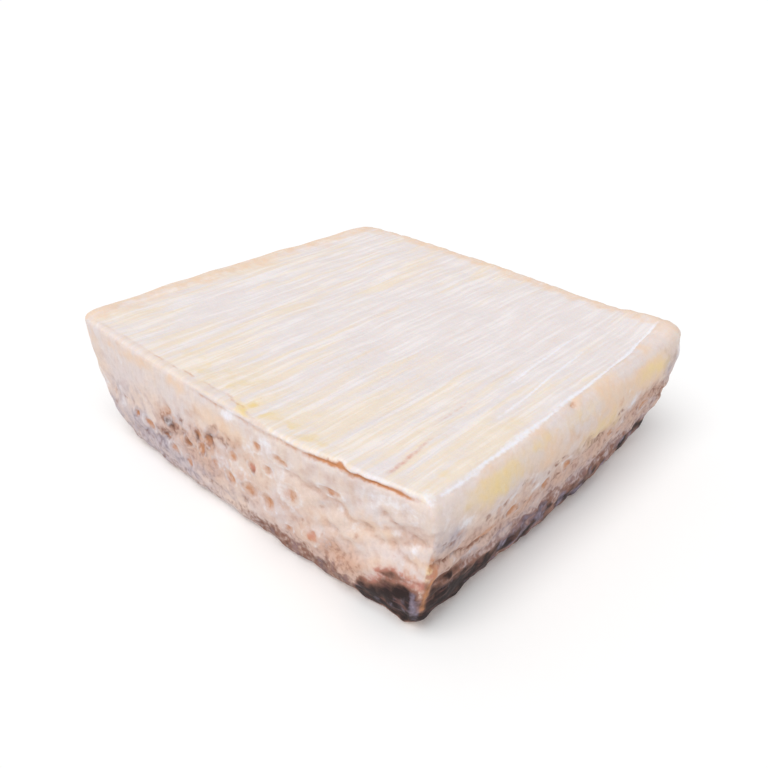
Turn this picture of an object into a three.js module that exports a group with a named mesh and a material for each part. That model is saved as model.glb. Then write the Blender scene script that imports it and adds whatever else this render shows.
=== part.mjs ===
// A whole square washed-rind cheese: one low, soft slab with a rind all round.
// Millimetres, +Z up. The origin is the middle of the base, on the surface it stands on.
// X runs along the fine ridges that the draining board left in the top, Y across them.

import * as THREE from 'three';
import { mergeVertices } from 'three/addons/utils/BufferGeometryUtils.js';

// Overall size: width along X and depth along Y, both over the bulge of the walls.
const width = 188;
const depth = 194;
const height = 54;

// The four walls. Each one bulges out in its middle, rolls under into a rounded foot and turns
// over into the top at its rim. The soft front has the broadest rim, and the left wall, where
// the top's skin ends in a crisp edge, has the narrowest.
const walls = {
  left: { bulge: 3.5, footRun: 6, footRise: 17, rimRun: 2.5, rimDrop: 2 },
  right: { bulge: 3, footRun: 11, footRise: 14, rimRun: 5, rimDrop: 3 },
  front: { bulge: 1.5, footRun: 7, footRise: 15, rimRun: 8, rimDrop: 14 },
  back: { bulge: 3, footRun: 14, footRise: 14, rimRun: 7, rimDrop: 3 },
};

// The four upright corners: plan radius at the top and at the base, and how far the walls lean
// in there between the rim and the base. The front left corner stays sharp all the way down,
// and the other three slump into a wide round foot.
const corners = {
  frontLeft: { top: 2, base: 4, lean: 2 },
  frontRight: { top: 6, base: 38, lean: 6.5 },
  backLeft: { top: 5, base: 29, lean: 4.5 },
  backRight: { top: 7, base: 30, lean: 5 },
};

// Above its foot the left wall draws in towards the sharp front left corner. It starts at a share
// of the way from mid-length to that corner, and grows over a range of heights. The top and the
// front wall are squeezed to follow, from a share of the way from their middle to the left wall.
const drawIn = { depth: 4.5, alongStart: 0.3, acrossStart: 0.6, lowest: 11, highest: 36 };

// How late a corner opens out on its way down: 1 is evenly, and more is later.
const cornerSlump = 2.5;

// How sharply a wall's bulge fades from the rim towards the middle of the top and the base.
const bulgeFade = 3;

// Fineness of the skin: cells along each side, and cells up each stretch of a wall.
const sideCells = 26;
const footCells = 6;
const wallCells = 8;
const rimCells = 5;
const levelCells = footCells + wallCells + rimCells;

// Vertices that share an edge of the grid are welded when they are this close.
const weldDistance = 1e-4;

// How far in a wall is, and how high, at a level from 0 at the base to 1 at the top.
function wallProfile(wall, lean, level) {
  const cell = level * levelCells;
  const footTurn = Math.min(cell / footCells, 1) * Math.PI / 2;
  const rimTurn = Math.max((cell - footCells - wallCells) / rimCells, 0) * Math.PI / 2;
  const climb = THREE.MathUtils.clamp((cell - footCells) / wallCells, 0, 1);
  const wallRise = height - wall.footRise - wall.rimDrop;
  const z = wall.footRise * (1 - Math.cos(footTurn)) + wallRise * climb
    + wall.rimDrop * Math.sin(rimTurn);
  const belowRim = Math.max(1 - z / (height - wall.rimDrop), 0);
  const inset = wall.footRun * (1 - Math.sin(footTurn)) + wall.rimRun * (1 - Math.cos(rimTurn))
    + lean * belowRim;
  return { inset, z };
}

// A wall's lean at a place along it, from -1 at its first corner to 1 at its second.
function leanBetween(first, second, along) {
  return THREE.MathUtils.lerp(first.lean, second.lean, (along + 1) / 2);
}

// The corner's radius at a height, from its top radius to its base radius.
function cornerRadius(corner, z) {
  return THREE.MathUtils.lerp(corner.top, corner.base, (1 - z / height) ** cornerSlump);
}

// The bulge of a wall at a point: all of it at mid-length, none at the corners.
function bulgeAt(wall, along, across) {
  return wall.bulge * (1 - along * along) * Math.abs(across) ** bulgeFade;
}

// How far the left wall is drawn in at a point of the skin.
function drawnIn(u, v, z) {
  const nearCorner = THREE.MathUtils.smoothstep(-v, drawIn.alongStart, 1);
  const nearWall = THREE.MathUtils.smoothstep(-u, drawIn.acrossStart, 1);
  const aboveFoot = THREE.MathUtils.smoothstep(z, drawIn.lowest, drawIn.highest);
  return drawIn.depth * nearCorner * nearWall * aboveFoot;
}

// A point of the skin. u and v run from -1 to 1 over the plan, and level from 0 to 1.
function skinPoint(u, v, level) {
  const xWall = u > 0 ? walls.right : walls.left;
  const yWall = v > 0 ? walls.back : walls.front;
  const { frontLeft, frontRight, backLeft, backRight } = corners;
  const xLean = u > 0 ? leanBetween(frontRight, backRight, v) : leanBetween(frontLeft, backLeft, v);
  const yLean = v > 0 ? leanBetween(backLeft, backRight, u) : leanBetween(frontLeft, frontRight, u);
  const xProfile = wallProfile(xWall, xLean, level);
  const yProfile = wallProfile(yWall, yLean, level);

  // Each wall has its own profile, and they blend over the corner between them.
  const blendPower = 12;
  const xPull = Math.abs(u) ** blendPower;
  const yPull = Math.abs(v) ** blendPower;
  const blend = xPull + yPull > 0 ? xPull / (xPull + yPull) : 0.5;
  const z = THREE.MathUtils.lerp(yProfile.z, xProfile.z, blend);

  const halfX = width / 2 - xWall.bulge - xProfile.inset;
  const halfY = depth / 2 - yWall.bulge - yProfile.inset;
  const side = v > 0 ? 'back' : 'front';
  const corner = corners[side + (u > 0 ? 'Right' : 'Left')];
  const radius = cornerRadius(corner, z);

  // Square grid rings become rings with round corners: what lies beyond the corner's centre
  // is drawn in from a square to a circle.
  let x = u * halfX;
  let y = v * halfY;
  const overX = Math.max(Math.abs(x) - halfX + radius, 0);
  const overY = Math.max(Math.abs(y) - halfY + radius, 0);
  const reach = Math.hypot(overX, overY);
  if (reach > 0) {
    const pull = Math.max(overX, overY) / reach;
    x -= Math.sign(u) * overX * (1 - pull);
    y -= Math.sign(v) * overY * (1 - pull);
  }

  x += Math.sign(u) * bulgeAt(xWall, v, u) + drawnIn(u, v, z);
  y += Math.sign(v) * bulgeAt(yWall, u, v);
  return new THREE.Vector3(x, y, z);
}

// A box grid, finer towards its edges, whose every vertex is moved onto the skin.
function slabGeometry() {
  const grid = new THREE.BoxGeometry(2, 2, 1, sideCells, sideCells, levelCells);
  const position = grid.attributes.position;
  for (let i = 0; i < position.count; i += 1) {
    const u = Math.sin(position.getX(i) * Math.PI / 2);
    const v = Math.sin(position.getY(i) * Math.PI / 2);
    const point = skinPoint(u, v, position.getZ(i) + 0.5);
    position.setXYZ(i, point.x, point.y, point.z);
  }
  grid.deleteAttribute('normal');
  grid.deleteAttribute('uv');
  const skin = mergeVertices(grid, weldDistance);
  skin.computeVertexNormals();
  return skin;
}

function rindMaterial() {
  return new THREE.MeshStandardMaterial({ color: 0xe6d2c4, roughness: 0.75, metalness: 0 });
}

const cheese = new THREE.Mesh(slabGeometry(), rindMaterial());
cheese.name = 'cheese';

const model = new THREE.Group();
model.add(cheese);

export default model;
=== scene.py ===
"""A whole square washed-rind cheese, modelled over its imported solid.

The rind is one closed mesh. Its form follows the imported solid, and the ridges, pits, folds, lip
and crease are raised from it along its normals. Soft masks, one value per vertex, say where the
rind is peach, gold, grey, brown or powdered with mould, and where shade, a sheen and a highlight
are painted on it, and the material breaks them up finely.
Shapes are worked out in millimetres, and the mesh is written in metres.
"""
import math

import bpy
import numpy as np
from mathutils import Matrix, Vector, noise


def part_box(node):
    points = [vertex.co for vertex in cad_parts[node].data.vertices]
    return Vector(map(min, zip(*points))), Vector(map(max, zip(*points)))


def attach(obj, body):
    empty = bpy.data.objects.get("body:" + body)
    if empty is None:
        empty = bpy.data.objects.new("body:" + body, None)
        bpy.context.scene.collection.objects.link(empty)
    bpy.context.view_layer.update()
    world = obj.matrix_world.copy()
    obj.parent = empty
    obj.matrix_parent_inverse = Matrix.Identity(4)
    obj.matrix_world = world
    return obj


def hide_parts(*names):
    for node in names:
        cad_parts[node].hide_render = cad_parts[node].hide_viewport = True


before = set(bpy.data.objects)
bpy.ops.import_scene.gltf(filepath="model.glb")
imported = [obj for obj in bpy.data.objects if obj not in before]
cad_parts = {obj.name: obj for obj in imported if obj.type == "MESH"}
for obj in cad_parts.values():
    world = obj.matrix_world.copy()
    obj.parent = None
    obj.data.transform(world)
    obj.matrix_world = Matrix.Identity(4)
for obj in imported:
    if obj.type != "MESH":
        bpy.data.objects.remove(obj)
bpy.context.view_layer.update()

MM = 0.001
low_corner, high_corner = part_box("cheese")
WIDTH, DEPTH, HEIGHT = (high_corner - low_corner) / MM

# ---------------------------------------------------------------- the form of the slab

# The four walls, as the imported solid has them: bulge, foot (run, rise) and rim (run, drop).
WALLS = {
    "left": dict(bulge=3.5, foot=(6, 17), rim=(2.5, 2)),
    "right": dict(bulge=3, foot=(11, 14), rim=(5, 3)),
    "front": dict(bulge=1.5, foot=(7, 15), rim=(8, 14)),
    "back": dict(bulge=3, foot=(14, 14), rim=(7, 3)),
}

# The upright corners: plan radius at the top and at the base, and the lean between them.
CORNERS = {
    "front_left": dict(top=2, base=4, lean=2),
    "front_right": dict(top=6, base=38, lean=6.5),
    "back_left": dict(top=5, base=29, lean=4.5),
    "back_right": dict(top=7, base=30, lean=5),
}

# Above its foot the left wall draws in towards the front left corner. It starts at a share of the
# way along the wall and of the way across the top, and grows over a range of heights.
DRAW_IN = dict(depth=4.5, along_start=0.3, across_start=0.6, lowest=11, highest=36)

# How late a corner opens out on its way down: 1 is evenly, and more is later.
CORNER_SLUMP = 2.5

# How sharply a wall's bulge fades from the rim towards the middle of the top and the base.
BULGE_FADE = 3

# How sharply one wall's profile gives way to the next over the corner between them.
CORNER_BLEND = 12

# Fineness of the mesh: cells along X and along Y, and up the foot, the wall and the rim.
CELLS_X = 160
CELLS_Y = 256
FOOT_CELLS = 16
WALL_CELLS = 30
RIM_CELLS = 10
LEVELS = FOOT_CELLS + WALL_CELLS + RIM_CELLS

# The base is flat, so its cells are this many lattice steps wide.
BASE_CELL = 8

# Stands in for zero where something is divided by it.
TINY = 1e-9


def smooth(low, high, value):
    """0 below low, 1 above high, and an S-curve between."""
    t = np.clip((value - low) / (high - low), 0, 1)
    return t * t * (3 - 2 * t)


def between(first, second, t):
    """A value t of the way from the first to the second."""
    return first + (second - first) * t


def soft(distance, half_width):
    """1 at a distance of 0, and next to nothing two half-widths away."""
    return np.exp(-((distance / half_width) ** 2))


def wall_profile(wall, lean, level):
    """How far in a wall is and how high, at a row of the mesh."""
    foot_run, foot_rise = wall["foot"]
    rim_run, rim_drop = wall["rim"]
    foot_turn = np.clip(level / FOOT_CELLS, 0, 1) * math.pi / 2
    rim_turn = np.clip((level - FOOT_CELLS - WALL_CELLS) / RIM_CELLS, 0, 1) * math.pi / 2
    climb = np.clip((level - FOOT_CELLS) / WALL_CELLS, 0, 1)
    z = (
        foot_rise * (1 - np.cos(foot_turn))
        + (HEIGHT - foot_rise - rim_drop) * climb
        + rim_drop * np.sin(rim_turn)
    )
    inset = (
        foot_run * (1 - np.sin(foot_turn))
        + rim_run * (1 - np.cos(rim_turn))
        + lean * np.maximum(1 - z / (HEIGHT - rim_drop), 0)
    )
    return inset, z


def drawn_in(u, v, z):
    """How far the left wall is drawn in at a point of the slab."""
    towards_corner = smooth(DRAW_IN["along_start"], 1, -v)
    towards_wall = smooth(DRAW_IN["across_start"], 1, -u)
    above_foot = smooth(DRAW_IN["lowest"], DRAW_IN["highest"], z)
    return DRAW_IN["depth"] * towards_corner * towards_wall * above_foot


def slab_points(u, v, level):
    """Points of the plain slab, for u and v from -1 to 1 over the plan and a row of the mesh."""

    def pick(positive, negative, chosen):
        """One value on the positive side of the slab, and the other on the negative side."""
        return np.where(chosen > 0, positive, negative)

    def lean_of(first, second, t):
        """A wall's lean at a place along it, from -1 at its first corner to 1 at its second."""
        return between(CORNERS[first]["lean"], CORNERS[second]["lean"], (t + 1) / 2)

    lean_x = pick(lean_of("front_right", "back_right", v), lean_of("front_left", "back_left", v), u)
    lean_y = pick(lean_of("back_left", "back_right", u), lean_of("front_left", "front_right", u), v)
    profiles = {name: wall_profile(wall, lean_x if name in ("left", "right") else lean_y, level)
                for name, wall in WALLS.items()}
    inset_x = pick(profiles["right"][0], profiles["left"][0], u)
    inset_y = pick(profiles["back"][0], profiles["front"][0], v)
    z_x = pick(profiles["right"][1], profiles["left"][1], u)
    z_y = pick(profiles["back"][1], profiles["front"][1], v)
    bulge_x = pick(WALLS["right"]["bulge"], WALLS["left"]["bulge"], u)
    bulge_y = pick(WALLS["back"]["bulge"], WALLS["front"]["bulge"], v)

    # Each wall has its own profile, and they blend over the corner between them.
    pull_x = np.abs(u) ** CORNER_BLEND
    pull_y = np.abs(v) ** CORNER_BLEND
    z = between(z_y, z_x, pull_x / np.maximum(pull_x + pull_y, TINY))

    opening = np.clip(1 - z / HEIGHT, 0, 1) ** CORNER_SLUMP
    radii = {name: between(corner["top"], corner["base"], opening)
             for name, corner in CORNERS.items()}
    radius = pick(pick(radii["back_right"], radii["back_left"], u),
                  pick(radii["front_right"], radii["front_left"], u), v)

    # What lies beyond a corner's centre is drawn in from a square to a circle.
    half_x = WIDTH / 2 - bulge_x - inset_x
    half_y = DEPTH / 2 - bulge_y - inset_y
    over_x = np.maximum(np.abs(u) * half_x - half_x + radius, 0)
    over_y = np.maximum(np.abs(v) * half_y - half_y + radius, 0)
    pull = np.maximum(over_x, over_y) / np.maximum(np.hypot(over_x, over_y), TINY)
    x = u * half_x - np.sign(u) * over_x * (1 - pull)
    y = v * half_y - np.sign(v) * over_y * (1 - pull)
    x += np.sign(u) * bulge_x * (1 - v**2) * np.abs(u) ** BULGE_FADE + drawn_in(u, v, z)
    y += np.sign(v) * bulge_y * (1 - u**2) * np.abs(v) ** BULGE_FADE
    return np.stack([x, y, z], -1)


def lattice_sides():
    """The six faces of a box lattice, each as polygons of (i, j, k), seen from outside."""

    def quads(across, up, place):
        a, b = np.meshgrid(np.arange(across), np.arange(up), indexing="ij")
        corners = [(a, b), (a + 1, b), (a + 1, b + 1), (a, b + 1)]
        points = [np.stack(np.broadcast_arrays(*place(s, t)), -1) for s, t in corners]
        return np.stack(points, -2).reshape(-1, 4, 3)

    return {
        "top": quads(CELLS_X, CELLS_Y, lambda s, t: (s, t, LEVELS)),
        "front": quads(CELLS_X, LEVELS, lambda s, t: (s, 0, t)),
        "right": quads(CELLS_Y, LEVELS, lambda s, t: (CELLS_X, s, t)),
        "back": quads(CELLS_X, LEVELS, lambda s, t: (CELLS_X - s, CELLS_Y, t)),
        "left": quads(CELLS_Y, LEVELS, lambda s, t: (0, CELLS_Y - s, t)),
        "base": base_polygons(),
    }


def base_polygons():
    """The base in wide cells, whose outer edges keep every lattice step of the walls."""

    def step(on_outer_edge):
        return 1 if on_outer_edge else BASE_CELL

    polygons = []
    for i in range(0, CELLS_X, BASE_CELL):
        for j in range(0, CELLS_Y, BASE_CELL):
            far_i = i + BASE_CELL
            far_j = j + BASE_CELL
            ring = [(i, t, 0) for t in range(j, far_j, step(i == 0))]
            ring += [(t, far_j, 0) for t in range(i, far_i, step(far_j == CELLS_Y))]
            ring += [(far_i, t, 0) for t in range(far_j, j, -step(far_i == CELLS_X))]
            ring += [(t, j, 0) for t in range(far_i, i, -step(j == 0))]
            polygons.append(np.array(ring))
    return polygons


# The UV atlas, in millimetres: the faces lie flat in it, each from its own low corner. A wall's
# band is a little higher than the cheese, because the wall bulges.
ATLAS_GAP = 4
WALL_BAND = 64
ATLAS_SIZE = 2 * DEPTH + ATLAS_GAP
ATLAS = {
    "top": (0, 0),
    "base": (DEPTH + ATLAS_GAP, 0),
    "front": (0, DEPTH + ATLAS_GAP),
    "right": (DEPTH + ATLAS_GAP, DEPTH + ATLAS_GAP),
    "back": (0, DEPTH + WALL_BAND + 2 * ATLAS_GAP),
    "left": (DEPTH + ATLAS_GAP, DEPTH + WALL_BAND + 2 * ATLAS_GAP),
}


def atlas_places(side, lattice):
    """Where the lattice points of one face lie in the atlas, from 0 to 1."""
    i, j, k = lattice.T
    if side in ("top", "base"):
        across = i / CELLS_X * WIDTH
        up = j / CELLS_Y * DEPTH
    else:
        along = i / CELLS_X if side in ("front", "back") else j / CELLS_Y
        across = along * (WIDTH if side in ("front", "back") else DEPTH)
        up = k / LEVELS * WALL_BAND
    corner_x, corner_y = ATLAS[side]
    return np.stack([corner_x + across, corner_y + up], -1) / ATLAS_SIZE


def slab_mesh():
    """The plain slab as a mesh with its atlas, and the vertices' places in millimetres."""
    sides = lattice_sides()
    lattice = np.concatenate([np.concatenate(list(p)) for p in sides.values()])
    counts = np.concatenate([[len(p) for p in polygons] for polygons in sides.values()])
    atlas = np.concatenate([atlas_places(s, np.concatenate(list(p))) for s, p in sides.items()])
    strides = np.array([1, CELLS_X + 1, (CELLS_X + 1) * (CELLS_Y + 1)])
    _, first, corner = np.unique(lattice @ strides, return_index=True, return_inverse=True)
    i, j, k = lattice[first].T
    points = slab_points(2 * i / CELLS_X - 1, 2 * j / CELLS_Y - 1, k.astype(float))

    mesh = bpy.data.meshes.new("cheese_rind")
    mesh.vertices.add(len(points))
    mesh.vertices.foreach_set("co", (points * MM).ravel())
    mesh.loops.add(len(corner))
    mesh.loops.foreach_set("vertex_index", corner.ravel())
    mesh.polygons.add(len(counts))
    mesh.polygons.foreach_set("loop_start", np.concatenate([[0], np.cumsum(counts)[:-1]]))
    mesh.polygons.foreach_set("use_smooth", np.ones(len(counts), bool))
    mesh.update(calc_edges=True)
    mesh.uv_layers.new(name="OFBake").uv.foreach_set("vector", atlas.astype(np.float32).ravel())
    return mesh, points


mesh, form = slab_mesh()
normals = np.empty(form.size)
mesh.vertex_normals.foreach_get("vector", normals)
normals = normals.reshape(form.shape)

# ---------------------------------------------------------------- where things are on the slab

x, y, z = form.T

# How much of each face a point belongs to.
upward = smooth(0.45, 0.85, normals[:, 2])
downward = smooth(0.5, 0.9, -normals[:, 2])
sideways = (1 - upward) * (1 - downward)
FACING = {
    "left": -normals[:, 0],
    "right": normals[:, 0],
    "front": -normals[:, 1],
    "back": normals[:, 1],
}
on_wall = {name: smooth(0.35, 0.7, facing) * sideways for name, facing in FACING.items()}

# Distance along each wall from its left end, as seen from outside.
along = {
    "left": DEPTH / 2 - y,
    "front": x + WIDTH / 2,
    "right": y + DEPTH / 2,
    "back": WIDTH / 2 - x,
}

# Distance in from each edge of the top.
from_left = x + WIDTH / 2
from_front = y + DEPTH / 2
from_right = WIDTH / 2 - x
from_back = DEPTH / 2 - y


# Perlin noise is scaled up to reach about -1 and 1, and each seed looks at its own part of it.
NOISE_REACH = 1.6
SEED_STEP = 17.31


def wander(size, seed, points=form):
    """Perlin noise from about -1 to 1, with lumps of a size in mm, or of (x, y, z) sizes."""
    places = points / np.array(size) + seed * SEED_STEP
    return NOISE_REACH * np.array([noise.noise(place) for place in places.tolist()])


# Marks are looked up a little off their places, which makes their outlines wavy. Marks that are
# smaller than a full mark, in mm of length and height together, are shifted less.
FULL_MARK = 10
shift = 1.1 * wander(6, 50) + 0.6 * wander(2.4, 51)
shift_up = 1.1 * wander(6, 52) + 0.6 * wander(2.4, 53)


def distance_to(wall, place, height, half_length, half_height=None):
    """Distance from a mark on a wall, as a share of the mark's own size."""
    half_height = half_height or half_length
    waviness = min(1, (half_length + half_height) / FULL_MARK)
    off_along = (along[wall] + waviness * shift - place) / half_length
    return np.hypot(off_along, (z + waviness * shift_up - height) / half_height)


def patches(marks):
    """Soft patches on the walls: (wall, along, height, half-length, half-height, strength)."""
    found = [m[5] * soft(distance_to(*m[:5]), 1) * on_wall[m[0]] for m in marks]
    return np.maximum.reduce(found)


def pits(marks, edge=0.6):
    """Firmer marks on the walls: (wall, along, height, half-length[, half-height])."""
    found = [smooth(1 + edge, 1 - edge, distance_to(*m)) * on_wall[m[0]] for m in marks]
    return np.maximum.reduce(found)


def strokes(marks):
    """Soft lines on the walls: (wall, along, height, to along, to height, half-width)."""
    found = []
    for wall, start, low, end, high, half in marks:
        run = end - start
        rise = high - low
        off_along = along[wall] + shift - start
        off_up = z + shift_up - low
        t = np.clip((off_along * run + off_up * rise) / (run**2 + rise**2), 0, 1)
        off = np.hypot(off_along - t * run, off_up - t * rise)
        found.append(soft(off, half) * on_wall[wall])
    return np.maximum.reduce(found)


def scattered(wall, count, places, heights, halves, seed, stretch=1.0):
    """Random marks for pits(), each stretch times as long as it is high.

    places, heights and halves, which are the marks' half-heights, are (lowest, highest).
    """
    chance = np.random.default_rng(seed)
    place = chance.uniform(*places, count)
    height = chance.uniform(*heights, count)
    half = chance.uniform(*halves, count)
    return [(wall, *row) for row in zip(place, height, half * stretch, half)]


def top_line(distance, wanted, half_width):
    """A soft line on the top, where a distance has a wanted value."""
    return soft(distance - wanted, half_width) * upward


def top_patch(place_x, place_y, half_x, half_y):
    """A soft patch on the top, placed from its left and front edges."""
    off_x = from_left - place_x + shift
    off_y = from_front - place_y + shift
    return soft(off_x, half_x) * soft(off_y, half_y) * upward


# ---------------------------------------------------------------- the features of the relief

# Ridges of the draining board, which run along X and climb a little towards the back.
RIDGE_SLOPE = 0.08
across_ridges = y - RIDGE_SLOPE * x + 1.2 * wander((60, 30, 30), 1)
ridge_frame = np.stack([x, across_ridges, np.zeros_like(x)], -1)
coarse_ridges = wander((34, 3.4, 1), 2, ridge_frame)
fine_ridges = wander((15, 1.7, 1), 3, ridge_frame)
on_ridges = upward * smooth(5, 9, from_front) * smooth(3, 7, from_back)
ridges = on_ridges * (0.24 * coarse_ridges + 0.07 * fine_ridges)


def ridge_line(place, half_width, start, end):
    """A soft line along the ridges, at a place across them from the middle of the top.

    It fades in over start and out over end, which are distances from the left edge.
    """
    line = top_line(across_ridges, place, half_width)
    return line * smooth(start[0], start[1], from_left) * smooth(end[1], end[0], from_left)


# The back edge is rolled over into a band with a ragged inner border.
BACK_BAND_WIDTH = 9
band_edge = BACK_BAND_WIDTH + 2.4 * wander(11, 4) + 1.4 * wander(4, 5)
back_band = upward * smooth(2, -2, from_back - band_edge)

# The front crease, where the top meets the shoulder. It swings away from the edge to the right.
CREASE_START = 5.6
CREASE_SWING = 8
CREASE_LENGTH = 180
crease_swing = CREASE_SWING * (along["front"] / CREASE_LENGTH) ** 2
crease_path = CREASE_START + crease_swing + 0.5 * wander(14, 6)
crease_width = 1.0 + 0.4 * wander(16, 9)
front_crease = top_line(from_front, crease_path, crease_width)
past_crease = smooth(1.5, -1.5, from_front - crease_path) * (1 - downward)

# Two more furrows follow the ridges further in.
furrow_near = ridge_line(-76.5, 0.8, (50, 75), (120, 150))
furrow_far = ridge_line(-67, 0.8, (70, 95), (130, 168))

# Thin red cracks near the front left corner.
crack_near = ridge_line(-66.5, 1.3, (8, 12), (26, 44))
crack_far = ridge_line(-62.5, 0.7, (34, 44), (56, 76))
cracks = np.maximum(crack_near, 0.7 * crack_far)

# The top's skin ends over the left wall in a wavy lip, with a hollow under it. The lip is thick
# towards the front, and thin further back.
LIP_BELOW_TOP = 1.6
HOLLOW_BELOW_LIP = 0.6
lip_run = smooth(130, 150, along["left"]) * smooth(192, 176, along["left"])
lip_thin = smooth(70, 96, along["left"]) * smooth(190, 180, along["left"])
lip_strength = np.maximum(lip_run, 0.5 * lip_thin)
lip_wave = 0.7 * wander((12, 12, 400), 7) + 0.5 * wander((4, 4, 400), 8)
left_side = smooth(0.1, 0.4, FACING["left"]) * (1 - downward)
lip_height = HEIGHT - LIP_BELOW_TOP + 1.1 * lip_wave * lip_strength
lip_hollow = left_side * soft(z - lip_height + HOLLOW_BELOW_LIP, 1) * lip_strength
lip = left_side * smooth(-0.4, 0.8, z - lip_height) * lip_strength

# Deep pits have dark floors, and ring pits are shallow, with a pale rim.
DEEP_PITS = [
    ("left", 67, 27, 1.6, 2.2), ("left", 109, 14, 1.6, 2.2),
    ("front", 38, 26, 3.0, 1.3), ("front", 58.5, 38.5, 2.0, 1.0), ("front", 93, 29, 2.0, 1.3),
    ("front", 76, 17.5, 2.2, 1.6), ("front", 64, 18, 2.2, 1.4), ("front", 120, 18, 2.4, 1.6),
    ("front", 106, 18, 3.0, 1.6), ("front", 130, 18, 2.6, 1.6),
]
RING_PITS = [
    ("left", 41, 22, 1.6), ("left", 78, 26, 2.2, 1.8), ("left", 62, 20, 2.0, 1.4),
    ("left", 91, 33, 1.8, 2.4), ("left", 116, 34, 2.0),
    ("left", 50, 21, 3.0, 2.2), ("left", 85, 33, 2.0, 2.6), ("left", 86, 27, 1.8, 2.6),
    ("left", 67, 17, 2.8, 2.0), ("left", 76, 15, 2.0, 2.6), ("left", 94, 24, 1.4, 2.2),
    ("left", 105, 33, 2.4), ("left", 103, 22, 2.6), ("left", 131, 44, 3.4, 1.8),
    ("left", 113, 22, 3.2, 2.6), ("left", 123.5, 21.5, 2.8, 3.4), ("left", 135, 31, 3.4, 3.0),
    ("left", 119, 44, 2.0), ("left", 145, 18.5, 3.0, 2.4), ("left", 133, 15, 2.0, 1.5),
    ("left", 153, 41, 3.6, 1.4), ("left", 125, 37, 2.2, 1.6),
    ("front", 74, 29, 2.2), ("front", 87, 31, 2.2), ("front", 52, 29, 3.0, 1.6),
    ("front", 122, 29, 2.4, 1.8), ("front", 133, 26, 2.6), ("front", 152, 30, 3.0, 2.0),
]
deep_pits = pits(
    DEEP_PITS
    + scattered("right", 18, (12, 182), (10, 34), (1.2, 2.4), 33)
    + scattered("back", 18, (12, 176), (10, 34), (1.2, 2.4), 34)
)
loose_pits = (
    scattered("left", 16, (22, 62), (8, 26), (0.7, 1.5), 43)
    + scattered("left", 14, (95, 165), (8, 40), (0.8, 1.6), 42)
    + scattered("front", 70, (8, 176), (18, 38), (0.8, 1.7), 44, 1.4)
    + scattered("right", 70, (10, 184), (8, 42), (0.9, 2.0), 45)
    + scattered("back", 70, (10, 178), (8, 42), (0.9, 2.0), 46)
)
named_rings = pits(RING_PITS)
ring_pits = np.maximum(named_rings, pits(loose_pits))

# Where a ring pit's rim lies and how wide it is, as shares of the pit's own size.
PIT_RIM_PLACE = 1.5
PIT_RIM_WIDTH = 0.4
pit_rims = np.maximum.reduce([
    soft(distance_to(*m) - PIT_RIM_PLACE, PIT_RIM_WIDTH) * on_wall[m[0]] for m in RING_PITS
])

# The pitted band climbs along the left wall, away from the back corner's foot.
BAND_START = 62
BAND_START_HEIGHT = 24
BAND_CLIMB = 0.4
band_height = BAND_START_HEIGHT + BAND_CLIMB * (along["left"] - BAND_START)
band_ends = smooth(48, BAND_START, along["left"]) * smooth(112, 92, along["left"])
pitted_band = on_wall["left"] * band_ends * soft(z - band_height, 7)

# Small lumps cover the lower half of the walls, and the foot's edge is knobbly.
lumps = 0.6 * wander(8, 20) + 0.25 * wander(3.6, 21)
rough_low = sideways * smooth(48, 24, z)
foot_knobs = sideways * smooth(18, 6, z) * (0.7 * wander(11, 22) + 0.5 * wander(4.5, 23))

# Long soft folds sweep up along the left wall towards the front corner.
FOLD_SLOPE = 0.5
fold_frame = np.stack([along["left"], z - FOLD_SLOPE * along["left"], np.zeros_like(x)], -1)
folds = wander((24, 4.5, 1), 24, fold_frame)
near_corner = on_wall["left"] * smooth(116, 160, along["left"]) * smooth(50, 40, z)

# Creases along the lower front wall rise slightly to the right.
STRATA_SLOPE = 0.1
strata_frame = np.stack([along["front"], z - STRATA_SLOPE * along["front"], np.zeros_like(x)], -1)
strata = wander((22, 2.6, 1), 25, strata_frame)
front_low = on_wall["front"] * smooth(44, 28, z)

# Folds that can be told one by one.
FOLDS = [
    ("front", 3, 32, 14, 28, 1.3), ("front", 14, 28, 36, 26.5, 1.2), ("front", 12, 23, 30, 19, 0.9),
    ("left", 150, 38, 172, 31, 2.0), ("left", 152, 27, 168, 20, 2.2), ("left", 172, 41, 188, 36, 1.3),
    ("left", 133, 40, 150, 39, 2.0), ("left", 176, 31, 190, 26, 1.6), ("left", 66, 35, 66, 28, 1.8),
    ("left", 62, 22, 76, 29, 1.2), ("left", 92, 32, 96, 41, 1.6), ("left", 55, 16, 64, 20, 1.0),
    ("left", 36, 11, 50, 17, 0.9), ("front", 160, 33, 174, 28, 1.3), ("front", 100, 36, 116, 31, 1.4),
]
single_folds = strokes(FOLDS)

# A crest runs down the lower half of the front left corner, with a shaded line beside it on the
# front wall. Both follow the corner as it draws in.
corner_x = DRAW_IN["depth"] * smooth(DRAW_IN["lowest"], DRAW_IN["highest"], z)
crest_x = 4.6 + corner_x
crest_y = 2.4 - 0.7 * wander((60, 60, 9), 26)
crest_shade_x = 7 + corner_x
crest_heights = smooth(33, 27, z) * smooth(9, 14, z)
corner_crest = soft(np.hypot(from_left - crest_x, from_front - crest_y), 1.3) * crest_heights
crest_shade = soft(from_left - crest_shade_x, 1.6) * on_wall["front"] * crest_heights

# The top humps up at the front right corner, and the wall below it is full.
hump = top_patch(184, 8, 15, 22)
corner_fill = soft(from_right - 14, 20) * soft(from_front - 13, 20) * soft(z - 27, 10)
# The back left corner is tucked in, and the front crease has one nick.
tuck = smooth(12, 2, from_left) * smooth(17, 5, from_back)
nick = top_line(from_front, 5, 1.4) * soft(along["front"] - 93, 2.2)

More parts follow.
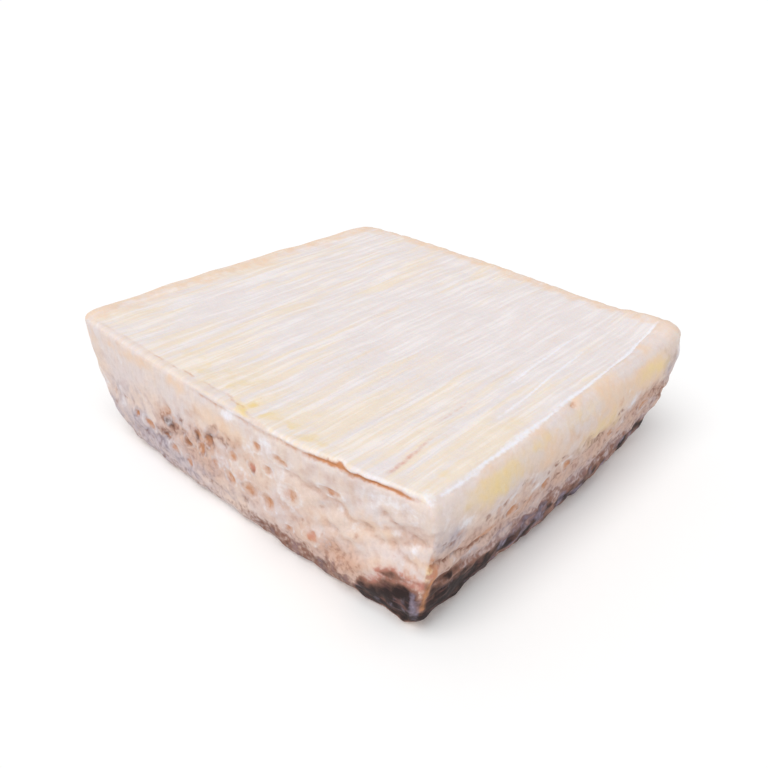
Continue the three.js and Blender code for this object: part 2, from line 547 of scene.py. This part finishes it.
# The relief itself, in mm along the normal. It fades out at the flat base.
relief = (
    ridges
    + 0.45 * back_band
    - 0.4 * front_crease
    - 0.25 * furrow_near
    - 0.25 * furrow_far
    - 0.2 * cracks
    + 0.3 * lip
    - 1.1 * lip_hollow
    - 0.9 * deep_pits
    - 0.35 * ring_pits
    + 0.3 * pit_rims
    + 0.8 * rough_low * lumps
    + 0.6 * pitted_band * wander(4.5, 27)
    + 0.7 * foot_knobs
    + 0.8 * near_corner * folds
    + 0.5 * front_low * strata
    - 0.9 * single_folds
    + 1.4 * corner_crest
    + 3.0 * hump
    + 1.3 * corner_fill
    - 1.4 * tuck
    - 1.6 * nick
    + (1 - downward) * (0.5 * wander(38, 30) + 0.3 * wander(15, 31))
)
relief *= smooth(0, 1.5, z)
shaped = form + normals * relief[:, None]
shaped[:, 2] = np.maximum(shaped[:, 2], 0)
mesh.vertices.foreach_set("co", (shaped * MM).ravel())
mesh.update()

# ---------------------------------------------------------------- masks of colour, 0 to 1

# The two walls that face away from the camera.
hidden_walls = np.maximum(on_wall["right"], on_wall["back"])

# Where the top's skin starts: further in towards the back, over a bare pale rim.
BARE_RIM_WIDTH = 5
skin_start = BARE_RIM_WIDTH * smooth(132, 92, along["left"]) + 0.8 * wander(7, 73)

# The dark foot, and the long dark patch by the front left corner, end upwards in level layers.
level_frame = np.stack([x + y, np.zeros_like(x), z], -1)
layers = wander((16, 1, 3), 43, level_frame) + wander((9, 1, 1.4), 44, level_frame)
layered_up = z + 2.0 * layers
ragged_up = z + 1.8 * wander(9, 40) + 0.9 * wander(3.5, 42)
patch_top_left = 9 + 8 * smooth(160, 168, along["left"]) + 8 * smooth(168, 180, along["left"])
patch_top_front = 28 - 7 * smooth(0, 50, along["front"])
patch_left = on_wall["left"] * smooth(160, 165, along["left"])
patch_left *= smooth(patch_top_left + 3, patch_top_left - 8, layered_up)
patch_front = on_wall["front"] * smooth(70, 40, along["front"])
patch_front *= smooth(patch_top_front + 3, patch_top_front - 10, layered_up)
dark_patch = np.maximum(patch_left, patch_front)
dark_patch *= (1 - 0.85 * corner_crest) * (1 - 0.5 * crest_shade)
foot_line = on_wall["left"] * smooth(80, 124, along["left"]) * smooth(13, 8, ragged_up)
foot_front = on_wall["front"] * smooth(27, 12, layered_up) * (0.8 + 0.3 * wander(6, 41))


def peach_mask():
    """The rolled back band, the front shoulder's far end, and the sunny sides of the folds."""
    shoulder = past_crease * smooth(30, 46, z + 3 * wander(18, 65)) * smooth(8, 40, along["front"])
    right_rim = upward * smooth(18, 6, from_right + 3 * wander(8, 66))
    return np.maximum.reduce([
        0.6 * back_band,
        0.6 * upward * smooth(22, 6, from_back + 4 * wander(12, 67)),
        0.6 * right_rim,
        (0.42 + 0.3 * wander(12, 72)) * shoulder,
        0.4 * near_corner * smooth(0.0, 0.7, folds),
        patches([
            ("front", 150, 46, 26, 9, 0.9), ("front", 118, 40, 26, 12, 0.7), ("front", 90, 40, 16, 8, 0.5),
            ("left", 8, 46, 10, 7, 0.6), ("left", 46, 50, 16, 4, 0.6), ("left", 74, 50, 8, 4, 0.7),
            ("left", 100, 43, 20, 7, 0.7), ("left", 120, 34, 24, 12, 0.4), ("left", 150, 28, 14, 10, 0.4),
            ("left", 168, 35, 14, 6, 0.65), ("left", 186, 28, 7, 9, 0.45), ("left", 30, 49, 10, 4, 0.5),
            ("left", 160, 20, 9, 5, 0.4),
            ("right", 60, 46, 44, 8, 0.6), ("right", 150, 44, 30, 6, 0.5), ("back", 90, 45, 70, 8, 0.6),
        ]),
    ])


def gold_mask():
    """Damp ooze on the front shoulder, along the crease, at the left lip and on the crest."""
    ooze = smooth(-0.4, 0.4, wander(5, 60))
    return np.maximum.reduce([
        patches([
            ("front", 40, 46, 22, 7, 0.7), ("front", 67, 50, 14, 4, 0.5),
            ("front", 112, 37, 22, 7, 0.55), ("front", 156, 46, 18, 5, 0.7), ("front", 96, 50, 20, 5, 0.5),
            ("left", 10, 33, 7, 8, 0.4),
        ]),
        0.8 * corner_crest,
        top_patch(5, 82, 6, 10) * ooze,
        0.55 * top_patch(6, 60, 7, 26) * ooze,
        0.4 * top_patch(12, 100, 16, 50) * ooze,
        0.4 * top_patch(24, 10, 18, 4) * ooze,
        0.3 * top_patch(60, 13, 34, 5) * ooze,
        0.4 * top_patch(10, 12, 10, 6),
        0.6 * lip * smooth(150, 100, along["left"]),
    ])


def grey_mask():
    """Lilac-grey mould and painted shade, low on every wall and most of all on the front."""
    grey_low = smooth(30, 12, z + 4 * wander(16, 62) + 1.5 * wander(4, 68))
    return np.maximum.reduce([
        # Grey that deepens towards the foot of the walls is partly mould and partly painted shade.
        on_wall["front"] * (0.32 * smooth(46, 34, z) + 0.35 * smooth(28, 16, z)),
        0.7 * on_wall["left"] * grey_low * smooth(110, 70, along["left"]),
        0.4 * on_wall["left"] * smooth(46, 28, z) * smooth(80, 40, along["left"]),
        0.4 * on_wall["left"] * smooth(34, 20, z) * smooth(130, 90, along["left"]),
        0.5 * strokes([("left", 36, 10, 60, 21, 3.0), ("left", 56, 8, 70, 14, 2.5)]),
        0.35 * on_wall["left"] * smooth(24, 8, z) * smooth(60, 100, along["left"]),
        0.35 * pitted_band,
        0.7 * hidden_walls * smooth(36, 12, z),
        patches([
            ("front", 172, 42, 10, 12, 0.7), ("front", 164, 26, 10, 6, 0.6),
            ("front", 16, 36, 12, 9, 0.75), ("left", 72, 34, 6, 4, 0.6), ("left", 98, 26, 8, 5, 0.4),
            ("left", 42, 20, 18, 8, 0.75), ("left", 54, 15, 26, 7, 0.9),
            ("left", 84, 15, 18, 6, 0.6), ("left", 100, 14, 22, 7, 0.5),
        ]),
    ])


def tan_mask():
    """Flesh-brown mottling round the pits, in the pitted band and over the front wall, and painted shade in
    the folds' hollows.
    """
    return np.maximum.reduce([
        0.7 * pitted_band,
        0.7 * ring_pits,
        0.6 * single_folds,
        # Painted shade in the hollows of the long folds by the front left corner.
        0.55 * near_corner * smooth(0.1, -0.7, folds),
        0.75 * on_wall["front"] * smooth(46, 26, z + 4 * wander(16, 63)),
        0.45 * hidden_walls * smooth(40, 26, z),
        patches([
            ("left", 84, 22, 30, 12, 0.8), ("left", 66, 29, 12, 8, 0.9), ("left", 88, 31, 14, 7, 0.9),
            ("left", 158, 16, 16, 9, 1.0), ("left", 84, 40, 8, 5, 0.5), ("left", 141, 20, 12, 6, 0.6),
            ("left", 104, 38, 18, 6, 0.65), ("left", 140, 14, 34, 8, 0.6),
            ("left", 118, 22, 40, 13, 0.55), ("left", 150, 46, 40, 5, 0.35), ("left", 164, 14, 12, 6, 0.6),
            ("front", 150, 32, 30, 8, 0.95),
            ("front", 86, 44, 14, 5, 0.3), ("left", 46, 18, 14, 7, 0.4), ("left", 180, 24, 12, 4, 0.5),
            ("front", 110, 32, 40, 8, 0.6),
        ]),
    ])


def brown_mask():
    """The floors of the pits, the dark foot, which is partly painted shade, the dark patch by the front
    left corner, and the lip's painted shadow.
    """
    # Darker all along the foot of every wall: partly the rind's colour, partly painted shade.
    foot_rest = sideways * smooth(14, 5, ragged_up)
    front_dabs = pits(scattered("front", 75, (6, 178), (19, 37), (0.7, 1.3), 47, 2.6))
    return np.maximum.reduce([
        0.45 * front_dabs,
        0.5 * deep_pits,
        0.25 * ring_pits,
        # Partly painted shadow in the hollow under the lip.
        0.5 * lip_hollow * lip_run,
        dark_patch,
        # The dark foot, partly the rind's colour and partly painted shade.
        0.65 * foot_line,
        foot_front,
        0.35 * foot_rest,
        0.65 * single_folds * front_low,
        0.1 * single_folds,
        patches([
            ("left", 66, 29, 5, 5, 0.8), ("left", 92, 34, 4, 6, 0.7), ("left", 61, 21, 5, 3, 0.75),
            ("left", 74, 33, 3, 4, 0.65), ("left", 84, 32, 2.5, 5, 0.7), ("left", 78, 26, 3.5, 2.5, 0.75),
            ("left", 116, 33, 3, 3, 0.6), ("left", 90, 12, 7, 3, 0.5), ("left", 87, 27, 4, 4, 0.55),
            ("left", 100, 37, 7, 2.5, 0.45), ("left", 110, 22, 3, 3, 0.4), ("left", 41, 22, 2.5, 2, 0.6),
            ("front", 118, 19, 3, 2, 0.7), ("front", 129, 19, 3, 2, 0.7), ("front", 63, 18, 3, 2, 0.6),
            ("front", 106, 18, 3, 2, 0.6), ("front", 152, 19, 8, 2.5, 0.6), ("front", 48, 29, 3, 1.6, 0.5),
            ("front", 57, 39, 3, 1.5, 0.5), ("front", 72, 29, 3, 1.8, 0.5), ("front", 91, 30, 3, 1.6, 0.5),
            ("left", 125, 8, 12, 4, 0.7), ("left", 140, 11, 4, 3, 0.5), ("left", 50, 14, 12, 2, 0.4),
            ("front", 168, 28, 8, 3, 0.5), ("front", 6, 22, 6, 5, 0.7), ("front", 178, 36, 5, 8, 0.3),
        ]),
    ])


def amber_mask():
    """The lip's hollow, partly painted shadow, the painted shade by the corner's crest, and the warmest
    pits and folds.
    """
    rim_line = upward * soft(from_left - skin_start, 0.7)
    rim_line *= smooth(40, 60, along["left"]) * smooth(125, 105, along["left"])
    return np.maximum.reduce([
        # Orange-brown under the lip: partly the rind's colour, partly painted shadow in the hollow.
        lip_hollow,
        0.45 * rim_line,
        0.9 * crest_shade,
        0.6 * named_rings,
        0.2 * ring_pits,
        0.8 * nick,
        patches([
            ("front", 36, 28, 8, 2, 0.7), ("front", 6, 32, 5, 4, 0.7), ("front", 63, 27, 4, 2, 0.5),
            ("front", 74, 29, 3, 2, 0.5), ("front", 126, 42, 3, 3, 0.5), ("front", 21, 37, 3, 2, 0.5),
            ("left", 184, 38, 6, 2, 0.25), ("left", 66, 34, 4, 4, 0.5), ("left", 86, 30, 3, 4, 0.5),
            ("left", 186, 24, 5, 3, 0.5), ("left", 172, 36, 6, 2, 0.3),
        ]),
    ])


def red_mask():
    """The cracks in the top, sore spots on the walls and the rim of the dark patch."""
    patch_rim = on_wall["left"] * smooth(160, 172, along["left"])
    patch_rim *= soft(layered_up - patch_top_left + 2, 3)
    return np.maximum.reduce([
        0.5 * cracks,
        0.5 * patch_rim,
        patches([
            ("left", 116, 34, 3, 2.4, 0.7), ("left", 145, 18.5, 3, 2.4, 0.6),
            ("front", 93, 29, 2.5, 1.6, 0.6), ("front", 76, 18, 2.5, 1.6, 0.6),
            ("left", 184, 37, 5, 1.6, 0.2), ("front", 8, 26, 6, 3, 0.5),
        ]),
    ])


def painted_sheen_mask():
    """A painted lilac-grey sheen over the dark places."""
    return np.maximum.reduce([
        0.7 * foot_front * smooth(-0.5, 0.4, wander(5, 69)) * smooth(20, 50, along["front"]),
        0.4 * foot_line * smooth(-0.2, 0.5, wander(5, 70)),
        patches([
            ("left", 184, 11, 3, 5, 0.45), ("left", 189, 12, 3, 8, 0.7),
            ("front", 24, 16, 20, 2, 0.25), ("front", 60, 15, 20, 3, 0.5), ("front", 50, 21, 14, 2.5, 0.5),
        ]),
    ])


def frost_and_highlight_mask():
    """White powdery mould on the furrows, round the pits, and in loose patches, and a painted highlight on
    the lip's edge.
    """
    loose_frost = smooth(0.2, 0.8, wander(7, 64)) * (0.45 * on_wall["left"] + 0.4 * on_wall["front"])
    powder = np.maximum.reduce([
        0.9 * front_crease * smooth(10, 20, along["front"]) * smooth(188, 168, along["front"]),
        0.8 * furrow_near,
        0.8 * furrow_far,
        0.8 * top_patch(5, 7, 9, 5),
        # A painted highlight along the top's edge over the lip, towards the front left corner.
        0.75 * upward * soft(from_left - 5, 4) * smooth(150, 178, along["left"]),
        0.4 * top_patch(12, 176, 16, 3),
        0.45 * pit_rims,
        loose_frost * smooth(50, 42, z) * smooth(12, 22, z),
        patches([
            ("left", 105, 50, 5, 3, 0.8), ("left", 124, 48, 5, 3, 0.7), ("left", 185, 33, 3, 3, 0.6),
            ("left", 176, 47, 14, 4, 0.55), ("left", 178, 36, 4, 2, 0.5), ("left", 183, 27, 3, 2, 0.4),
            ("left", 98, 26, 9, 4, 0.5), ("left", 70, 22, 8, 3, 0.4), ("left", 112, 28, 8, 3, 0.45),
            ("left", 130, 24, 6, 6, 0.4),
            ("front", 66, 31, 6, 2.5, 0.55), ("front", 31, 23, 7, 2.0, 0.55), ("front", 139, 37, 7, 5, 0.6),
            ("front", 181, 42, 5, 12, 0.9), ("front", 23, 40, 7, 4, 0.6), ("front", 8, 44, 12, 10, 0.45),
            ("front", 52, 35, 5, 3, 0.6), ("front", 70, 22, 9, 3, 0.4),
        ]),
    ])
    # The sharp edge of the front left corner is bare, except at the top.
    off_edge = smooth(1.5, 5, np.hypot(from_left - 4 - corner_x, from_front - 2))
    return powder * np.maximum(off_edge, smooth(48, 52, z))


def top_mask():
    """Where the top's streaks show. They run on over its rims, and fade down the front and left."""
    tilt_up = normals[:, 2]
    skin = smooth(0.2, 0.6, tilt_up) * smooth(-1.5, 1.5, from_front - crease_path)
    skin *= smooth(-1, 1, from_left - skin_start)
    bare_rim = smooth(0.3, 0.8, tilt_up) * smooth(7, 4, from_left) * smooth(130, 100, along["left"])
    return np.maximum.reduce([
        skin,
        0.6 * bare_rim,
        0.45 * past_crease * smooth(40, 50, z),
        0.3 * on_wall["left"] * smooth(32, 48, z),
    ])


def cream_mask():
    """Where the top is yellower, which is at 1, and where it is lilac, at 0."""
    cream = 0.5 + 0.35 * wander((30, 18, 40), 61)
    cream += 0.4 * top_patch(16, 80, 30, 70) + 0.3 * top_patch(40, 12, 60, 12)
    # The lilac patches here are painted shadow, strongest towards the right of the top.
    cream -= 0.4 * top_patch(95, 90, 50, 60) + 0.9 * top_patch(140, 50, 50, 50)
    return cream + on_ridges * (0.35 * coarse_ridges + 0.3 * wander((70, 7, 1), 74, ridge_frame))


MASKS = {
    "peach": peach_mask,
    "gold": gold_mask,
    "grey": grey_mask,
    "tan": tan_mask,
    "brown": brown_mask,
    "amber": amber_mask,
    "red": red_mask,
    "painted_sheen": painted_sheen_mask,
    "frost_and_highlight": frost_and_highlight_mask,
    "top": top_mask,
    "cream": cream_mask,
}
for name, mask in MASKS.items():
    values = mesh.attributes.new(name, "FLOAT", "POINT").data
    values.foreach_set("value", mask().astype(np.float32))

# ---------------------------------------------------------------- material


def srgb(*screen):
    """A colour as Blender wants it, from its red, green and blue on a screen, 0 to 255."""
    shares = [value / 255 for value in screen]
    linear = [c / 12.92 if c <= 0.04045 else ((c + 0.055) / 1.055) ** 2.4 for c in shares]
    return (*linear, 1.0)


class NodeTree:
    """A short way to write a material's nodes."""

    def __init__(self, material):
        material.use_nodes = True
        self.nodes = material.node_tree.nodes
        self.links = material.node_tree.links
        self.shader = self.nodes["Principled BSDF"]

    def plug(self, socket, value):
        """Give an input another node's output, or a plain value."""
        if isinstance(value, bpy.types.NodeSocket):
            self.links.new(value, socket)
        else:
            socket.default_value = value

    def mask(self, name):
        """One of the masks that the mesh carries."""
        node = self.nodes.new("ShaderNodeAttribute")
        node.attribute_name = name
        return node.outputs["Fac"]

    def place(self, stretch):
        """Object coordinates, squeezed so that patterns come out stretch times longer."""
        coordinates = self.nodes.new("ShaderNodeTexCoord")
        mapping = self.nodes.new("ShaderNodeMapping")
        self.plug(mapping.inputs["Vector"], coordinates.outputs["Object"])
        mapping.inputs["Rotation"].default_value = (0, 0, -math.atan(RIDGE_SLOPE))
        mapping.inputs["Scale"].default_value = tuple(1 / s for s in stretch)
        return mapping.outputs["Vector"]

    def noise(self, size_mm, detail, stretch=(1, 1, 1)):
        """Noise with lumps of a size in millimetres, before any stretch."""
        node = self.nodes.new("ShaderNodeTexNoise")
        self.plug(node.inputs["Vector"], self.place(stretch))
        node.inputs["Scale"].default_value = 1 / (size_mm * MM)
        node.inputs["Detail"].default_value = detail
        return node.outputs["Fac"]

    def math(self, operation, first, second):
        """A sum on two values."""
        node = self.nodes.new("ShaderNodeMath")
        node.operation = operation
        self.plug(node.inputs[0], first)
        self.plug(node.inputs[1], second)
        return node.outputs[0]

    def spread(self, value, low, high, to_low=0.0, to_high=1.0):
        """An S-curve from to_low, where the value is low, to to_high, where it is high."""
        node = self.nodes.new("ShaderNodeMapRange")
        node.interpolation_type = "SMOOTHSTEP"
        limits = {"From Min": low, "From Max": high, "To Min": to_low, "To Max": to_high}
        for name, number in limits.items():
            node.inputs[name].default_value = number
        self.plug(node.inputs["Value"], value)
        return node.outputs["Result"]

    def blend(self, amount, under, over):
        """One colour laid over another by an amount."""
        node = self.nodes.new("ShaderNodeMix")
        node.data_type = "RGBA"
        # A Mix node has sockets for every kind of data, and these are its colours.
        colour_a, colour_b = node.inputs[6], node.inputs[7]
        self.plug(node.inputs["Factor"], amount)
        self.plug(colour_a, under)
        self.plug(colour_b, over)
        return node.outputs[2]

    def shade(self, factor, colour):
        """A colour made darker or lighter by a factor."""
        node = self.nodes.new("ShaderNodeVectorMath")
        node.operation = "SCALE"
        self.plug(node.inputs[0], colour)
        self.plug(node.inputs["Scale"], factor)
        return node.outputs[0]

    def ragged(self, name, breakup, depth, low, high):
        """A mask whose edge is broken up by a noise, which shifts it up or down by half the depth."""
        shifted = self.math("MULTIPLY_ADD", breakup, depth)
        added = shifted.node.inputs[2]
        added.default_value = -depth / 2
        return self.spread(self.math("ADD", self.mask(name), shifted), low, high)


def plain_rind(tree, flecks, clumps, streaks, fine_streaks):
    """Cream and pink in clouds on the walls, and cream and lilac in streaks on the top."""
    clouds = tree.noise(14, 4)
    wall = tree.blend(tree.spread(clouds, 0.35, 0.65), srgb(228, 206, 193), srgb(221, 207, 205))
    wall = tree.blend(tree.spread(clumps, 0.45, 0.7, 0, 0.5), wall, srgb(206, 182, 175))
    wall = tree.shade(tree.spread(flecks, 0.3, 0.7, 0.96, 1.02), wall)
    streaked = tree.math("ADD", streaks, tree.math("MULTIPLY", tree.mask("cream"), -0.3))
    top = tree.blend(tree.spread(streaked, 0.15, 0.48), srgb(236, 221, 204), srgb(230, 221, 220))
    top = tree.blend(tree.spread(fine_streaks, 0.45, 0.7, 0, 0.5), top, srgb(247, 241, 240))
    top = tree.blend(tree.spread(fine_streaks, 0.45, 0.25, 0, 0.35), top, srgb(232, 208, 192))
    return tree.blend(tree.mask("top"), wall, top)


def overgrown_rind(tree, colour, flecks, clumps):
    """What grows or oozes on the plain rind, and the shade, sheen and highlight painted on it, each laid
    over the last.
    """
    level_streaks = tree.noise(1.5, 4, stretch=(5, 5, 1))
    tan = tree.blend(tree.spread(flecks, 0.4, 0.7), srgb(208, 170, 150), srgb(178, 134, 114))
    # The grey mould colour, which low on the walls also stands for painted shade.
    mould = tree.blend(tree.spread(flecks, 0.38, 0.68), srgb(190, 178, 185), srgb(152, 139, 147))
    dark = tree.blend(tree.spread(level_streaks, 0.5, 0.72), srgb(38, 21, 20), srgb(98, 64, 60))
    # Mask, what breaks up its edge and how deeply, where it starts and is full, and its colour.
    growths = [
        ("peach", clumps, 0.8, 0.15, 0.9, srgb(236, 206, 180)),
        ("tan", clumps, 0.9, 0.15, 1.0, tan),
        ("grey", clumps, 0.9, 0.2, 1.0, mould),
        ("gold", clumps, 0.7, 0.15, 0.95, srgb(238, 212, 154)),
        ("brown", flecks, 1.0, 0.2, 0.75, srgb(146, 104, 88)),
        ("amber", flecks, 0.8, 0.15, 0.9, srgb(200, 138, 96)),
        ("red", flecks, 0.6, 0.15, 0.9, srgb(204, 132, 116)),
        ("brown", clumps, 0.8, 0.55, 1.0, dark),
        # A painted sheen over the dark places.
        ("painted_sheen", flecks, 1.0, 0.2, 1.0, srgb(150, 138, 156)),
        # White mould, with a painted highlight along the lip's edge.
        ("frost_and_highlight", flecks, 0.8, 0.2, 0.9, srgb(240, 238, 244)),
    ]
    for name, breakup, depth, start, full, paint in growths:
        colour = tree.blend(tree.ragged(name, breakup, depth, start, full), colour, paint)
    return colour


def fine_bump(tree, grain, clumps, fine_streaks):
    """Grain and clumps all over, and fine streaks on the top."""
    streaks_on_top = tree.math("MULTIPLY", tree.math("MULTIPLY", fine_streaks, 0.6), tree.mask("top"))
    height = tree.math("ADD", tree.math("MULTIPLY", clumps, 0.7), tree.math("MULTIPLY", grain, 0.15))
    height = tree.math("ADD", height, streaks_on_top)
    bump = tree.nodes.new("ShaderNodeBump")
    bump.inputs["Strength"].default_value = 0.8
    bump.inputs["Distance"].default_value = 0.8 * MM
    tree.plug(bump.inputs["Height"], height)
    return bump.outputs["Normal"]


def rind_material():
    """The plain rind with its growths and its painted shade, sheen and highlight, moist and a little
    shinier where it is gold.
    """
    material = bpy.data.materials.new("rind")
    tree = NodeTree(material)
    grain = tree.noise(0.8, 4)
    flecks = tree.noise(1.9, 4)
    clumps = tree.noise(4.6, 5)
    streaks = tree.noise(2.8, 4, stretch=(10, 1, 4))
    fine_streaks = tree.noise(1.6, 3, stretch=(16, 1, 4))

    plain = plain_rind(tree, flecks, clumps, streaks, fine_streaks)
    colour = overgrown_rind(tree, plain, flecks, clumps)
    # The walls are finely uneven, and the top isn't.
    uneven = tree.shade(tree.spread(grain, 0.3, 0.7, 0.97, 1.02), colour)
    colour = tree.blend(tree.mask("top"), uneven, colour)
    tree.plug(tree.shader.inputs["Base Color"], colour)
    tree.plug(tree.shader.inputs["Roughness"], tree.spread(tree.mask("gold"), 0, 1, 0.7, 0.42))
    tree.plug(tree.shader.inputs["Normal"], fine_bump(tree, grain, clumps, fine_streaks))
    tree.shader.inputs["Specular IOR Level"].default_value = 0.35
    tree.shader.inputs["Subsurface Weight"].default_value = 0.1
    tree.shader.inputs["Subsurface Radius"].default_value = (1.0, 0.6, 0.35)
    tree.shader.inputs["Subsurface Scale"].default_value = 1.5 * MM
    return material


mesh.materials.append(rind_material())
rind = bpy.data.objects.new("cheese_rind", mesh)
bpy.context.scene.collection.objects.link(rind)
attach(rind, "root")
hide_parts("cheese")

# ---------------------------------------------------------------- floor, light and camera


def add_floor():
    """A plain pale floor, 8 metres a side."""
    half = 4.0
    corners = [(-half, -half, 0), (half, -half, 0), (half, half, 0), (-half, half, 0)]
    plane = bpy.data.meshes.new("floor")
    plane.from_pydata(corners, [], [(0, 1, 2, 3)])
    paint = bpy.data.materials.new("floor_paint")
    paint.use_nodes = True
    shader = paint.node_tree.nodes["Principled BSDF"]
    shader.inputs["Base Color"].default_value = (0.97, 0.97, 0.97, 1)
    shader.inputs["Roughness"].default_value = 1.0
    shader.inputs["Specular IOR Level"].default_value = 0.0
    plane.materials.append(paint)
    floor = bpy.data.objects.new("floor", plane)
    bpy.context.scene.collection.objects.link(floor)


def add_softbox(name, direction, strength, spread):
    """A wide, even light that shines from a direction, spread over some degrees of sky."""
    lamp = bpy.data.lights.new(name, "SUN")
    lamp.energy = strength
    lamp.angle = math.radians(spread)
    light = bpy.data.objects.new(name, lamp)
    light.rotation_mode = "QUATERNION"
    light.rotation_quaternion = Vector(direction).to_track_quat("Z", "Y")
    bpy.context.scene.collection.objects.link(light)


def add_camera():
    """The camera looks at the near corner from above, turned slightly on its axis."""
    place = (-0.2495, -0.2085, 0.2065)
    yaw = math.radians(-50.07)
    pitch = math.radians(29.4)
    roll = math.radians(3.36)
    level_right = Vector((math.cos(yaw), math.sin(yaw), 0))
    level_back = Vector((math.sin(yaw), -math.cos(yaw), 0))
    back = math.cos(pitch) * level_back + math.sin(pitch) * Vector((0, 0, 1))
    level_up = back.cross(level_right)
    right = math.cos(roll) * level_right + math.sin(roll) * level_up
    up = math.cos(roll) * level_up - math.sin(roll) * level_right
    camera = bpy.data.objects.new("camera", bpy.data.cameras.new("camera"))
    camera.data.sensor_width = 36
    camera.data.lens = 39.13
    camera.data.clip_start = 0.01
    turn = Matrix((right, up, back)).transposed().to_4x4()
    camera.matrix_world = Matrix.Translation(place) @ turn
    bpy.context.scene.collection.objects.link(camera)
    bpy.context.scene.camera = camera


def add_sky():
    """White light from all round, and plain screen colours."""
    world = bpy.data.worlds.new("sky")
    world.use_nodes = True
    sky = world.node_tree.nodes["Background"]
    sky.inputs["Color"].default_value = (1.0, 1.0, 1.0, 1)
    sky.inputs["Strength"].default_value = 0.5
    bpy.context.scene.world = world
    bpy.context.scene.view_settings.view_transform = "Standard"


add_floor()
add_softbox("softbox", (-0.5, -0.08, 1.0), 1.95, 50)
add_camera()
add_sky()
